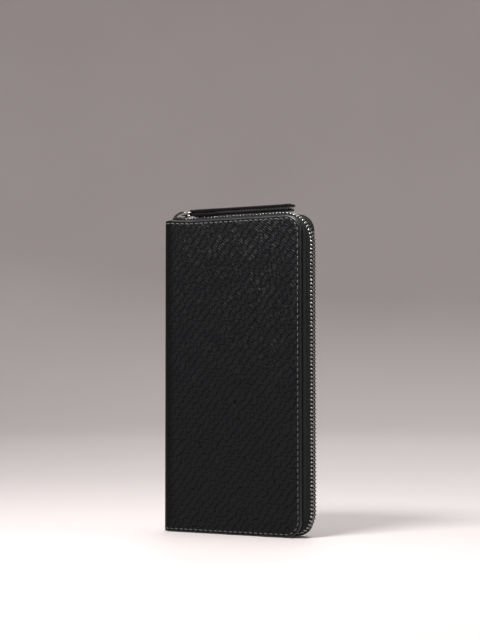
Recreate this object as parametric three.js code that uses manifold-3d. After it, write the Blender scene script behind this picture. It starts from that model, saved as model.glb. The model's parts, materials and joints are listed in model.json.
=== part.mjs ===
// A long zip-around wallet standing on its short end: two stiffened leather covers joined by a
// rounded spine, closed by a metal zip that runs along the top, the long side and the bottom.
// Inside are six card rows, two bill compartments with folded gussets and a zipped coin pocket.
// Millimetres, +Z up, spine at -X, zip at +X, front cover at -Y.

import * as THREE from 'three';
import { mergeVertices } from 'three/addons/utils/BufferGeometryUtils.js';
import Module from 'manifold-3d';

// ---------- driving dimensions ----------
const HEIGHT = 195; // long side of the covers, upright
const COVER_WIDTH = 100.6; // from the outside of the spine to the cover's free edge
const THICKNESS = 18; // closed wallet, outside to outside
const ZIP_OUT = 3.5; // chain centre beyond the covers' long free edge
const CHAIN_HALF_DEPTH = 1; // half the chain, measured outwards
const CORNER = 10.5; // radius of a cover's free corners

const LEATHER = 1.2;
const BOARD = 0.9;
const LINING = 0.5;
const TAPE = 0.5;
const SHEET = 0.45; // card rows and coin pocket walls

// ---------- places worked out from them ----------
const HALF = THICKNESS / 2;
const SPINE_OUT = -(COVER_WIDTH + ZIP_OUT + CHAIN_HALF_DEPTH) / 2;
const EDGE = SPINE_OUT + COVER_WIDTH; // the covers' free edge
const BEND = SPINE_OUT + HALF; // where the spine's curve meets the flat covers
const CHAIN = { top: HEIGHT + 1.6, right: EDGE + ZIP_OUT, bottom: 2.2, topRadius: 19, radius: 13 };

// distance of each layer's outer face from the middle plane, outermost first
const Y_LEATHER = HALF;
const Y_BOARD = Y_LEATHER - LEATHER - 0.2;
const Y_LINING = Y_BOARD - BOARD - 0.3;
const Y_PANEL = 5.4;
const Y_ROWS = [4.65, 3.95, 3.25];
const ROW_EDGES = [30, 21, 12]; // each row's mouth is set back from the one behind it
const Y_GUSSET = 2.5;
const Y_COIN = 1;

const POCKET = { left: -40, right: 34, bottom: 8.5, top: 186.5 };
const GUSSET = { left: -36, right: 29, depth: 22, ply: 0.4, thickness: 1.2 };

const TOOTH = { pitch: 2.34, width: 0.9, outer: 2.2, inner: 0.9, tip: -0.6 };
const ARC_STEPS = 8;

const SLIDER = { x: -42.8, length: 9.8, halfWidth: 3.5, channel: 1.3, wall: 0.8 };
const LINK_PIN = { x: -39.7, z: 199.7 };
const STRAP_PIN = { x: -32.6, z: 200.7 };
const STRAP = { end: 38.4, halfWidth: 4, under: 198.2, over: 202.2, ply: 1.65, fold: 1.95 };

const COIN = { x: 39.3, bottom: 14, top: 181, coil: 0.75, coilOuter: 1.7, slider: 172 };
const COIN_PIN = { x: 41.65, z: 170.65 };

const solids = await Module();
solids.setup();
const { Manifold, Mesh: ManifoldMesh } = solids;

// ---------- materials ----------
const paint = (color, roughness, metalness = 0) => () =>
  new THREE.MeshStandardMaterial({ color, roughness, metalness });
const leather = paint(0x202022, 0.6);
const boardStuff = paint(0x4a4642, 0.9);
const liningStuff = paint(0x2a2826, 0.8);
const innerLeather = paint(0x262425, 0.6);
const tapeStuff = paint(0x232825, 0.85);
const metal = paint(0x9b9ca0, 0.3, 1);
const nylon = paint(0x303230, 0.5);

// ---------- shapes ----------

// A closed outline through points given as [across, up].
function outline(points) {
  return new THREE.Shape(points.map(([a, b]) => new THREE.Vector2(a, b)));
}

// A rectangle whose +X corners are rounded, and whose -X corners are nearly square.
function panelOutline(left, right, bottom, top, radius, spineRadius = 0.6) {
  const shape = new THREE.Shape();
  shape.moveTo(left + spineRadius, bottom);
  shape.absarc(right - radius, bottom + radius, radius, -Math.PI / 2, 0, false);
  shape.absarc(right - radius, top - radius, radius, 0, Math.PI / 2, false);
  shape.absarc(left + spineRadius, top - spineRadius, spineRadius, Math.PI / 2, Math.PI, false);
  shape.absarc(left + spineRadius, bottom + spineRadius, spineRadius, Math.PI, Math.PI * 1.5, false);
  return shape;
}

// An X-Z outline given thickness along Y, between two distances from the middle plane.
function slab(shape, yFrom, yTo, curveSegments = 6) {
  const depth = Math.abs(yTo - yFrom);
  return new THREE.ExtrudeGeometry(shape, { depth, bevelEnabled: false, curveSegments })
    .rotateX(Math.PI / 2)
    .translate(0, Math.max(yFrom, yTo), 0);
}

// A Y-Z outline drawn out along X.
function prismX(points, xFrom, xTo) {
  const turn = new THREE.Matrix4().makeBasis(
    new THREE.Vector3(0, 1, 0),
    new THREE.Vector3(0, 0, 1),
    new THREE.Vector3(1, 0, 0),
  );
  return new THREE.ExtrudeGeometry(outline(points), { depth: xTo - xFrom, bevelEnabled: false })
    .applyMatrix4(turn)
    .translate(xFrom, 0, 0);
}

// An X-Y outline drawn out along Z.
function prismZ(points, zFrom, zTo) {
  return new THREE.ExtrudeGeometry(outline(points), { depth: zTo - zFrom, bevelEnabled: false })
    .translate(0, 0, zFrom);
}

// Turns the faces outwards if the solid came out inside out.
function facingOut(geometry) {
  const p = geometry.attributes.position;
  const corner = (i) => new THREE.Vector3().fromBufferAttribute(p, i);
  let volume = 0;
  for (let i = 0; i < p.count; i += 3) {
    volume += corner(i).dot(corner(i + 1).cross(corner(i + 2)));
  }
  if (volume < 0) {
    for (let i = 0; i < p.count; i += 3) {
      const [second, third] = [corner(i + 1), corner(i + 2)];
      p.setXYZ(i + 1, third.x, third.y, third.z);
      p.setXYZ(i + 2, second.x, second.y, second.z);
    }
  }
  geometry.computeVertexNormals();
  return geometry;
}

function fromTriangles(corners) {
  const geometry = new THREE.BufferGeometry();
  geometry.setAttribute('position', new THREE.Float32BufferAttribute(corners.flat(), 3));
  return facingOut(geometry);
}

// Joins several solids that run into each other into one.
function joined(pieces) {
  const parts = pieces.map((piece) => {
    const bare = new THREE.BufferGeometry();
    bare.setAttribute('position', piece.attributes.position);
    if (piece.index) bare.setIndex(piece.index);
    const welded = mergeVertices(bare, 1e-4);
    return new Manifold(new ManifoldMesh({
      numProp: 3,
      vertProperties: new Float32Array(welded.attributes.position.array),
      triVerts: new Uint32Array(welded.index.array),
    }));
  });
  const { vertProperties, triVerts, numProp } = Manifold.union(parts).getMesh();
  const corners = Array.from(triVerts, (v) =>
    Array.from(vertProperties.subarray(v * numProp, v * numProp + 3)));
  return fromTriangles(corners);
}

// ---------- the line of the zip ----------

// The stations of a line that runs along the top, round the corner, down the long side and back
// along the bottom. Every line made here has the same number of stations.
function aroundThreeSides({ top, right, bottom, topRadius, radius }, start) {
  const stations = [[start, top]];
  for (const [z, from, r] of [[top - topRadius, Math.PI / 2, topRadius], [bottom + radius, 0, radius]]) {
    for (let i = 0; i <= ARC_STEPS; i++) {
      const angle = from - (i / ARC_STEPS) * (Math.PI / 2);
      stations.push([right - r + r * Math.cos(angle), z + r * Math.sin(angle)]);
    }
  }
  stations.push([start, bottom]);
  return stations;
}

// Moves a line that runs round three sides outwards by a distance.
function grown({ top, right, bottom, topRadius, radius }, by) {
  return { top: top + by, right: right + by, bottom: bottom - by, topRadius: topRadius + by, radius: radius + by };
}

// A strip whose cross-section is a ring of lines, each at its own height above the middle plane.
function strip(ring, start) {
  const lines = ring.map(([line, y]) => aroundThreeSides(line, start).map(([x, z]) => [x, y, z]));
  const last = lines[0].length - 1;
  const corners = [];
  for (let r = 0; r < lines.length; r++) {
    const [a, b] = [lines[r], lines[(r + 1) % lines.length]];
    for (let i = 0; i < last; i++) {
      corners.push(a[i], a[i + 1], b[i + 1], a[i], b[i + 1], b[i]);
    }
  }
  for (const i of [0, last]) {
    const section = lines.map((line) => new THREE.Vector2(line[i][1], line[i][2]));
    const clockwise = THREE.ShapeUtils.isClockWise(section);
    const faces = THREE.ShapeUtils.triangulateShape(clockwise ? section.slice().reverse() : section, []);
    const back = (k) => (clockwise ? lines.length - 1 - k : k);
    for (const [p, q, r] of faces) {
      // a cap follows the ring's own turn at the start, and goes against it at the end
      const turn = (i === 0) !== clockwise ? [p, q, r] : [p, r, q];
      corners.push(...turn.map((k) => lines[back(k)][i]));
    }
  }
  return fromTriangles(corners);
}

// The place on the chain's centre line at a distance along it, and the direction outwards.
function onChain(distance, start) {
  const { top, right, bottom, topRadius, radius } = CHAIN;
  const flat = right - topRadius - start;
  const [topArc, arc] = [(Math.PI / 2) * topRadius, (Math.PI / 2) * radius];
  const upright = top - bottom - topRadius - radius;
  let s = distance;
  if (s < flat) return { x: start + s, z: top, nx: 0, nz: 1 };
  s -= flat;
  const onArc = (angle, z, r) => ({
    x: right - r + r * Math.cos(angle),
    z: z + r * Math.sin(angle),
    nx: Math.cos(angle),
    nz: Math.sin(angle),
  });
  if (s < topArc) return onArc(Math.PI / 2 - s / topRadius, top - topRadius, topRadius);
  s -= topArc;
  if (s < upright) return { x: right, z: top - topRadius - s, nx: 1, nz: 0 };
  s -= upright;
  if (s < arc) return onArc(-s / radius, bottom + radius, radius);
  s -= arc;
  return { x: right - radius - s, z: bottom, nx: 0, nz: -1 };
}

function chainLength(start) {
  const { top, right, bottom, topRadius, radius } = CHAIN;
  const corners = topRadius + radius;
  return 2 * (right - start) - corners + (Math.PI / 2) * corners + top - bottom - corners;
}

// ---------- the covers: side is 1 for the back and -1 for the front ----------

function coverLeather(side) {
  return slab(panelOutline(BEND + 0.3, EDGE, 0, HEIGHT, CORNER), side * Y_LEATHER, side * (Y_LEATHER - LEATHER));
}

function coverBoard(side) {
  const shape = panelOutline(BEND + 1, EDGE - 1, 1, HEIGHT - 1, CORNER - 1);
  return slab(shape, side * Y_BOARD, side * (Y_BOARD - BOARD));
}

function coverLining(side) {
  const shape = panelOutline(BEND + 2, EDGE - 5.8, 8.2, HEIGHT - 5.8, 5);
  return slab(shape, side * Y_LINING, side * (Y_LINING - LINING));
}

function pocketSheet(side, y, right, thickness = SHEET) {
  const { left, bottom, top } = POCKET;
  return slab(panelOutline(left, right, bottom, top, 2), side * y, side * (y - thickness), 3);
}

// A bill compartment's end: a strip folded in a V whose fold points into the compartment.
function gusset(side, atTop) {
  const { depth, ply, thickness, left, right } = GUSSET;
  const inner = Y_GUSSET - thickness;
  const section = [
    [Y_GUSSET, depth], [Y_GUSSET, 0], [inner, 0], [inner, depth],
    [inner + ply, depth], [inner + ply, ply + 0.2], [Y_GUSSET - ply, ply + 0.2], [Y_GUSSET - ply, depth],
  ];
  const base = POCKET.top - depth;
  const place = ([y, z]) => [side * y, atTop ? base + z : POCKET.bottom + depth - z];
  return prismX(section.map(place), left, right);
}

// Half of the zip's tape: it starts between board and lining and leans in to the teeth.
function zipTape(side) {
  const start = BEND - 4;
  const inside = { top: HEIGHT - 5, right: EDGE - 5, bottom: 7.5, topRadius: 6, radius: 6 };
  const lip = CORNER - 0.5;
  const mouth = { top: HEIGHT - 0.1, right: EDGE + 0.1, bottom: 3.6, topRadius: lip, radius: lip };
  // half way to the teeth the tape stands proud of the corners, where there is more of it than needed
  const ridge = { top: HEIGHT + 1.2, right: EDGE + 2.2, bottom: 2.9, topRadius: CORNER, radius: CORNER };
  const [outer, inner] = [Y_LINING, Y_LINING - TAPE];
  const teethSide = TOOTH.outer + 0.3;
  return strip([
    [inside, side * outer],
    [mouth, side * outer],
    [ridge, side * 4.6],
    [grown(CHAIN, TAPE / 2), side * teethSide],
    [grown(CHAIN, -TAPE / 2), side * teethSide],
    [grown(ridge, -TAPE), side * 4.5],
    [grown(mouth, -0.4), side * inner],
    [inside, side * inner],
  ], start);
}

// One row of teeth on its bead. The two rows are half a pitch apart, so that they mesh.
function zipTeeth(side) {
  const start = SLIDER.x - 1;
  const length = chainLength(start);
  const phase = side > 0 ? 0.4 : 0.4 + TOOTH.pitch / 2;
  const corners = [];
  const spot = (s, y, up) => {
    const { x, z, nx, nz } = onChain(s, start);
    const out = up ? CHAIN_HALF_DEPTH : -CHAIN_HALF_DEPTH;
    return [x + nx * out, side * y, z + nz * out];
  };
  const quad = (a, b, c, d) => corners.push(a, b, c, a, c, d);
  const block = (s0, s1, low, high) => {
    quad(spot(s0, low, true), spot(s1, low, true), spot(s1, high, true), spot(s0, high, true));
    quad(spot(s0, low, false), spot(s0, high, false), spot(s1, high, false), spot(s1, low, false));
  };
  const flank = (s0, s1, y, away) => {
    const [a, b, c, d] = [spot(s0, y, false), spot(s0, y, true), spot(s1, y, true), spot(s1, y, false)];
    if (away) quad(a, b, c, d);
    else quad(a, d, c, b);
  };
  const end = (s, low, high, forward) => {
    const [a, b, c, d] = [spot(s, low, false), spot(s, low, true), spot(s, high, true), spot(s, high, false)];
    if (forward) quad(a, d, c, b);
    else quad(a, b, c, d);
  };
  const { outer, inner, tip, pitch, width } = TOOTH;
  const bead = (s0, s1, open) => {
    block(s0, s1, inner, outer);
    flank(s0, s1, outer, true);
    if (open) flank(s0, s1, inner, false);
  };
  let s = 0;
  end(0, inner, outer, false);
  for (let at = phase; at + width < length; at += pitch) {
    bead(s, at, true);
    bead(at, at + width, false);
    block(at, at + width, tip, inner);
    flank(at, at + width, tip, false);
    end(at, tip, inner, false);
    end(at + width, tip, inner, true);
    s = at + width;
  }
  bead(s, length, true);
  end(length, inner, outer, true);
  return fromTriangles(corners);
}

function topStop(side) {
  const low = CHAIN.top - 0.8;
  return prismX(
    [[side * 0.6, low], [side * 1.9, low], [side * 1.9, low + 1.5], [side * 0.6, low + 1.5]],
    SLIDER.x - SLIDER.length / 2 - 1.2,
    SLIDER.x - SLIDER.length / 2 - 0.4,
  );
}

function bottomStop() {
  const [low, high] = [CHAIN.bottom - 1, CHAIN.bottom + 1];
  const x = SLIDER.x - 1.3;
  return prismX([[-2.3, low], [2.3, low], [2.3, high], [-2.3, high]], x - 1.8, x);
}

function spine() {
  const steps = 14;
  const inset = 0.05;
  const points = [];
  for (let i = 0; i <= steps; i++) {
    const angle = Math.PI / 2 + (i / steps) * Math.PI;
    points.push([BEND + HALF * Math.cos(angle), (HALF - inset) * Math.sin(angle)]);
  }
  for (let i = steps; i >= 0; i--) {
    const angle = Math.PI / 2 + (i / steps) * Math.PI;
    const r = HALF - LEATHER;
    points.push([BEND + r * Math.cos(angle), r * Math.sin(angle)]);
  }
  return prismZ(points, 0, HEIGHT);
}

// ---------- the coin pocket ----------

// The strip that closes the pocket's two ends and its spine side, between the walls.
function coinBinding() {
  const { left, bottom, top } = POCKET;
  const [right, wide] = [27.5, 3];
  const shape = outline([
    [left, bottom], [right, bottom], [right, bottom + wide], [left + wide, bottom + wide],
    [left + wide, top - wide], [right, top - wide], [right, top], [left, top],
  ]);
  return slab(shape, 0.25, -0.25);
}

// The coin zip's tape leaves the wall, opens out like a roof and comes back in to the coil.
function coinTape(side) {
  const wall = POCKET.right;
  const half = 0.2;
  const points = [
    [28, 0.5], [wall + 0.4, 0.5], [COIN.x - 2.3, 4], [COIN.x + half, 4.2],
    [COIN.x + half, COIN.coilOuter + 0.25], [COIN.x - half, COIN.coilOuter + 0.25],
    [COIN.x - half, 3.8], [COIN.x - 2.1, 3.6], [wall + 0.7, 0.15], [28, 0.15],
  ];
  return prismZ(points.map(([x, y]) => [x, side * y]), POCKET.bottom + 1, POCKET.top - 1);
}

function coinCoil(side) {
  const { x, coil, coilOuter } = COIN;
  const points = [
    [x - coil, 0.35], [x - coil * 0.4, 0.15], [x + coil * 0.4, 0.15], [x + coil, 0.35],
    [x + coil, coilOuter - 0.3], [x + coil * 0.4, coilOuter], [x - coil * 0.4, coilOuter],
    [x - coil, coilOuter - 0.3],
  ];
  return prismZ(points.map(([px, y]) => [px, side * y]), COIN.bottom, COIN.top);
}

// ---------- sliders and pulls ----------

// One wing of a slider: a plate with two lips turned towards the tape. Across, then up from it.
function wingSection(halfWidth, channel, wall, slot) {
  const lip = halfWidth - 0.6;
  return [
    [-halfWidth, slot], [-lip, slot], [-lip, channel], [lip, channel],
    [lip, slot], [halfWidth, slot], [halfWidth, channel + wall], [-halfWidth, channel + wall],
  ];
}

function zipSlider() {
  const { x, length, halfWidth, channel, wall } = SLIDER;
  const [from, to] = [x - length / 2, x + length / 2];
  const middle = CHAIN.top;
  const roof = middle + channel + wall;
  const upper = wingSection(halfWidth, channel, wall, 0.6).map(([y, z]) => [y, middle + z]);
  const lower = wingSection(halfWidth, channel, wall, 0.95).map(([y, z]) => [y, middle - z]);
  const post = prismZ(
    [[from + 0.4, 0], [from + 1.6, -1], [from + 2.9, 0], [from + 1.6, 1]],
    middle - channel - 0.2,
    middle + channel + 0.2,
  );
  // the loop on top that holds the pull: low at the spine end, high and steep at the other
  const arch = outline([
    [from + 0.3, roof - 0.2], [from + 0.7, roof + 0.9], [from + 3, roof + 2.6], [from + 6.2, roof + 3.5],
    [to - 1.2, roof + 3.2], [to - 0.3, roof + 2.2], [to, roof - 0.2], [to - 0.8, roof - 0.2],
    [to - 0.9, roof + 1.9], [to - 1.7, roof + 2.45], [from + 5.6, roof + 2.45], [from + 3.4, roof + 1.6],
    [from + 1.9, roof + 0.5], [from + 1.7, roof - 0.2],
  ]);
  return joined([prismX(upper, from, to), prismX(lower, from, to), post, slab(arch, 1.2, -1.2)]);
}

// The flat ring between the slider's loop and the strap.
function pullLink() {
  const reach = STRAP_PIN.x - LINK_PIN.x;
  const rise = STRAP_PIN.z - LINK_PIN.z;
  const wire = 1.1;
  const halfLong = Math.hypot(reach, rise) / 2 + wire / 2;
  const halfWide = STRAP.halfWidth + 0.3 + wire;
  const box = (a, b, r) => {
    const path = new THREE.Shape();
    path.absarc(a - r, b - r, r, 0, Math.PI / 2, false);
    path.absarc(r - a, b - r, r, Math.PI / 2, Math.PI, false);
    path.absarc(r - a, r - b, r, Math.PI, Math.PI * 1.5, false);
    path.absarc(a - r, r - b, r, Math.PI * 1.5, Math.PI * 2, false);
    return path;
  };
  const ring = box(halfLong, halfWide, 1.4);
  ring.holes.push(box(halfLong - wire, halfWide - wire, 0.4));
  return new THREE.ExtrudeGeometry(ring, { depth: wire, bevelEnabled: false, curveSegments: 4 })
    .translate(0, 0, -wire / 2)
    .rotateY(-Math.atan2(rise, reach))
    .translate((LINK_PIN.x + STRAP_PIN.x) / 2, 0, (LINK_PIN.z + STRAP_PIN.z) / 2);
}

// A leather strip folded round the ring's far bar, its two plies lying along the zip.
function pullStrap() {
  const { end, halfWidth, under, over, ply, fold } = STRAP;
  const { x, z } = STRAP_PIN;
  const eye = 1.05; // radius of the eye round the ring's bar
  const around = (radius, from, to, steps) => Array.from({ length: steps + 1 }, (_, i) => {
    const angle = THREE.MathUtils.degToRad(from + ((to - from) * i) / steps);
    return [x + radius * Math.cos(angle), z + radius * Math.sin(angle)];
  });
  const shape = outline([
    [end - 0.2, over], [x + 6, over + 0.15], ...around(fold, 80, 255, 7),
    [x + 4, under + 0.3], [x + 9, under], [end - 1.2, under], [end - 0.5, under + 0.5],
    [end - 0.5, under + ply - 0.4], [end - 1, under + ply], [x + 9, under + ply],
    [x + 4.5, under + ply + 0.3], ...around(eye, -40, -320, 8),
    [x + 5, over - ply + 0.15], [end - 0.3, over - ply], [end, over - ply + 0.5], [end, over - 0.4],
  ]);
  return slab(shape, halfWidth, -halfWidth);
}

function coinSlider() {
  const [from, to] = [COIN.slider - 3.5, COIN.slider + 3.5];
  const channel = COIN.coil + 0.3;
  const wing = wingSection(3.3, channel, 0.6, 0.5);
  const roof = COIN.x + channel + 0.6;
  const loop = [
    [roof - 0.2, from + 0.4], [roof + 1.7, from + 0.9], [roof + 2.2, from + 2], [roof + 2.2, from + 3.4],
    [roof + 1.2, to - 1.2], [roof - 0.2, to - 0.6], [roof - 0.2, to - 1.7], [roof + 0.9, from + 4],
    [roof + 1.4, from + 3], [roof + 1.4, from + 2], [roof + 1.1, from + 1.5], [roof - 0.2, from + 1.3],
  ];
  const post = [[COIN.x - channel - 0.2, -0.12], [COIN.x + channel + 0.2, -0.12],
    [COIN.x + channel + 0.2, 0.12], [COIN.x - channel - 0.2, 0.12]];
  return joined([
    prismZ(wing.map(([y, x]) => [COIN.x + x, y]), from, to),
    prismZ(wing.map(([y, x]) => [COIN.x - x, y]), from, to),
    prismZ(post, to - 1.6, to - 0.5),
    slab(outline(loop), 0.9, -0.9),
  ]);
}

// A small flat puller that hangs from the coin slider's loop by a slot in its head.
function coinPull() {
  const { x, z } = COIN_PIN;
  const half = 2.2;
  const tab = new THREE.Shape();
  tab.moveTo(-half, 0.35);
  tab.lineTo(-half, -10);
  tab.absarc(0, -12, half, Math.PI, Math.PI * 2, false);
  tab.lineTo(half, 0.35);
  const eye = new THREE.Path();
  eye.setFromPoints([[-1.3, -3.2], [1.3, -3.2], [1.3, -0.35], [-1.3, -0.35]]
    .map(([a, b]) => new THREE.Vector2(a, b)));
  tab.holes.push(eye);
  const turn = new THREE.Matrix4().makeBasis(
    new THREE.Vector3(0, 1, 0),
    new THREE.Vector3(0, 0, 1),
    new THREE.Vector3(1, 0, 0),
  );
  return new THREE.ExtrudeGeometry(tab, { depth: 0.7, bevelEnabled: false, curveSegments: 8 })
    .applyMatrix4(turn)
    .translate(x - 0.35, 0, z);
}

// ---------- assembly ----------

const group = new THREE.Group();

function add(name, geometry, material) {
  const mesh = new THREE.Mesh(geometry, material());
  mesh.name = name;
  group.add(mesh);
}

for (const [word, side] of [['back', 1], ['front', -1]]) {
  add(`${word}_leather`, coverLeather(side), leather);
  add(`${word}_board`, coverBoard(side), boardStuff);
  add(`${word}_lining`, coverLining(side), liningStuff);
  add(`${word}_card_panel`, pocketSheet(side, Y_PANEL, POCKET.right, 0.5), innerLeather);
  Y_ROWS.forEach((y, i) => {
    add(`${word}_card_row_${i + 1}`, pocketSheet(side, y, ROW_EDGES[i]), innerLeather);
  });
  add(`${word}_gusset_top`, gusset(side, true), innerLeather);
  add(`${word}_gusset_bottom`, gusset(side, false), innerLeather);
  add(`${word}_zip_tape`, zipTape(side), tapeStuff);
  add(`${word}_zip_teeth`, zipTeeth(side), metal);
  add(`${word}_top_stop`, topStop(side), metal);
  add(`coin_wall_${word}`, pocketSheet(side, Y_COIN, POCKET.right), innerLeather);
  add(`coin_tape_${word}`, coinTape(side), tapeStuff);
  add(`coin_coil_${word}`, coinCoil(side), nylon);
}
add('spine', spine(), leather);
add('bottom_stop', bottomStop(), metal);
add('coin_binding', coinBinding(), innerLeather);
add('coin_slider', coinSlider(), metal);
add('coin_pull', coinPull(), metal);
add('zip_slider', zipSlider(), metal);
add('pull_link', pullLink(), metal);
add('pull_strap', pullStrap(), leather);

export default group;
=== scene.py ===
import json
import math

import bmesh
import bpy
import numpy as np
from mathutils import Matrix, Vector, noise


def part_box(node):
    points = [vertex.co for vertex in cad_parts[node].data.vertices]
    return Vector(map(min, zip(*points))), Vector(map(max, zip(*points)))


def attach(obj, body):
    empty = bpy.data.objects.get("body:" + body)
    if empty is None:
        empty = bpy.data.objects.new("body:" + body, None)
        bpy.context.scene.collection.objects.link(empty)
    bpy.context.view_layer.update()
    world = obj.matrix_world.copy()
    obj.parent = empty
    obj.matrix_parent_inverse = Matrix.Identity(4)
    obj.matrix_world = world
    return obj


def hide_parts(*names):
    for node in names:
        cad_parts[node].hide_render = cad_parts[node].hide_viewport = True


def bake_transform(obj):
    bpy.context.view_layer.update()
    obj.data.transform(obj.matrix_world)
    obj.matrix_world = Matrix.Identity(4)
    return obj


# A long zip-around wallet. Every length below is in millimetres unless it says otherwise;
# make() turns points into metres. "Out" is away from the cover's middle, "in" towards it.

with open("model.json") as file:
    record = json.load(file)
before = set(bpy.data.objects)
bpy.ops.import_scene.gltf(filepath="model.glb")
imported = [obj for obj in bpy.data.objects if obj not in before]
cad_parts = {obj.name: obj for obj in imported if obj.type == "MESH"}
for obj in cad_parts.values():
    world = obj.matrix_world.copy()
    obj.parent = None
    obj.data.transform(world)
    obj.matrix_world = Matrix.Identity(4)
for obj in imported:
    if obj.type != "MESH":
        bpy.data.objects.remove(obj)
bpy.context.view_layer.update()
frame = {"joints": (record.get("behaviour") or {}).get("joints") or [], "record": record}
MM = 0.001


def span(node):
    """A CAD node's lowest and highest corner, in millimetres."""
    low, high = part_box(node)
    return np.array(low) / MM, np.array(high) / MM


# ---------- sizes, from the frame ----------
EDGE, HALF, HEIGHT = span("back_leather")[1]
BEND = span("spine")[0][0] + HALF
CORNER = 10.5
CHAIN_HALF = 1.0
TEETH_LOW, TEETH_HIGH = span("back_zip_teeth")
CHAIN = {
    "top": TEETH_HIGH[2] - CHAIN_HALF,
    "right": TEETH_HIGH[0] - CHAIN_HALF,
    "bottom": TEETH_LOW[2] + CHAIN_HALF,
    "top_radius": 19.0,
    "radius": 13.0,
}
TEETH_START = TEETH_LOW[0]
TAPE_LOW, TAPE_HIGH = span("back_zip_tape")
SEAM = 2.0  # the stitching's distance in from the cover's edge
STITCH_PITCH = 3.55
TOOTH_PITCH = 2.34
BEAD = {"y": 2.35, "radius": 0.5}  # the cord along each tape's edge that its teeth are clamped on
HEAD_RISE = 1.1  # how far the cover's head is drawn up at the spine
SPINE_THICK, BOARD_ADDS = 1.25, 1.2  # the cover's thickness at the spine, and what a board adds
ARC = HALF * math.pi / 2  # half the spine's outside, measured round the curve

BODY_OF = {n: b for b, names in frame["record"]["behaviour"]["bodies"].items() for n in names}


# ---------- meshes ----------

def make(name, points, faces, materials, uv=None, face_material=None):
    """A mesh object from points in millimetres. uv is one pair to a point, in centimetres."""
    mesh = bpy.data.meshes.new(name)
    mesh.from_pydata([tuple(p) for p in np.asarray(points, float) * MM], [], [tuple(f) for f in faces])
    if uv is not None:
        corner = np.zeros(len(mesh.loops), int)
        mesh.loops.foreach_get("vertex_index", corner)
        mesh.uv_layers.new(name="UVMap").data.foreach_set("uv", np.asarray(uv, float)[corner].ravel())
    for material in materials if isinstance(materials, (list, tuple)) else [materials]:
        mesh.materials.append(material)
    if face_material is not None:
        mesh.polygons.foreach_set("material_index", np.asarray(face_material, int))
    mesh.polygons.foreach_set("use_smooth", [True] * len(mesh.polygons))
    work = bmesh.new()
    work.from_mesh(mesh)
    bmesh.ops.recalc_face_normals(work, faces=work.faces)
    work.to_mesh(mesh)
    work.free()
    obj = bpy.data.objects.new(name, mesh)
    bpy.context.scene.collection.objects.link(obj)
    return obj


def stand_for(obj, *nodes, ride=True):
    """obj takes the place of CAD nodes: it hides them and, unless ride is False, rides on their body."""
    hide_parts(*nodes)
    if ride:
        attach(obj, BODY_OF[nodes[0]])


def rounded_edges(obj, width):
    """Rounds an object's hard edges, as casting, skiving or polishing does."""
    bevel = obj.modifiers.new("rounded", "BEVEL")
    bevel.width, bevel.segments, bevel.limit_method = width * MM, 3, "ANGLE"
    bevel.angle_limit = math.radians(35)
    bevel.harden_normals = True


def loft(stations, loop=False, ring=True):
    """Faces over stations of points. ring closes each station, and loop joins the last to the first."""
    stations = np.asarray(stations, float)
    n, m = stations.shape[:2]
    faces = []
    for i in range(n if loop else n - 1):
        j = (i + 1) % n
        for k in range(m if ring else m - 1):
            l = (k + 1) % m
            faces.append((i * m + k, j * m + k, j * m + l, i * m + l))
    if ring and not loop:
        faces += [tuple(range(m)), tuple((n - 1) * m + k for k in range(m))]
    return stations.reshape(-1, 3), faces


def merged(parts):
    """Several (points, faces) as one."""
    points, faces, start = [], [], 0
    for p, f in parts:
        points.append(np.asarray(p, float))
        faces += [tuple(start + i for i in face) for face in f]
        start += len(p)
    return np.vstack(points), faces


def prism(outline, low, high, axes):
    """An outline drawn out along a third axis. axes is the order of (across, up, along) in X, Y, Z."""
    ring = [[(a, b, c) for a, b in outline] for c in (low, high)]
    points, faces = loft(ring)
    placed = np.zeros_like(points)
    for column, axis in enumerate(axes):
        placed[:, axis] = points[:, column]
    return placed, faces


def smoothstep(low, high, x):
    t = np.clip((x - low) / (high - low), 0, 1)
    return t * t * (3 - 2 * t)


def circle(count):
    """Angles evenly round a full turn."""
    return np.linspace(0, 2 * math.pi, count, endpoint=False)


def distances(path):
    """The distance along a path at each of its points."""
    return np.concatenate([[0], np.cumsum(np.linalg.norm(np.diff(path, axis=0), axis=1))])


def normals(path):
    """The direction to the left of a flat path at each of its points."""
    found = []
    for i in range(len(path)):
        a, b = path[max(i - 1, 0)], path[min(i + 1, len(path) - 1)]
        t = (b - a) / np.linalg.norm(b - a)
        found.append(np.array([-t[1], t[0]]))
    return found


def pin_of(joint):
    """A joint's place in X and Z, in millimetres."""
    place = next(j for j in frame["joints"] if j["name"] == joint)["pos_m"]
    return np.array(place)[[0, 2]] / MM


# ---------- a sheet of leather, laid out flat and then put in place ----------

def depth_inside(flat, half, radius):
    """How far each flat point is in from the edge of a rounded rectangle."""
    q = np.abs(flat) - (np.array(half) - radius)
    corner = np.linalg.norm(np.maximum(q, 0), axis=1)
    return radius - corner - np.minimum(q.max(axis=1), 0)


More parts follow.
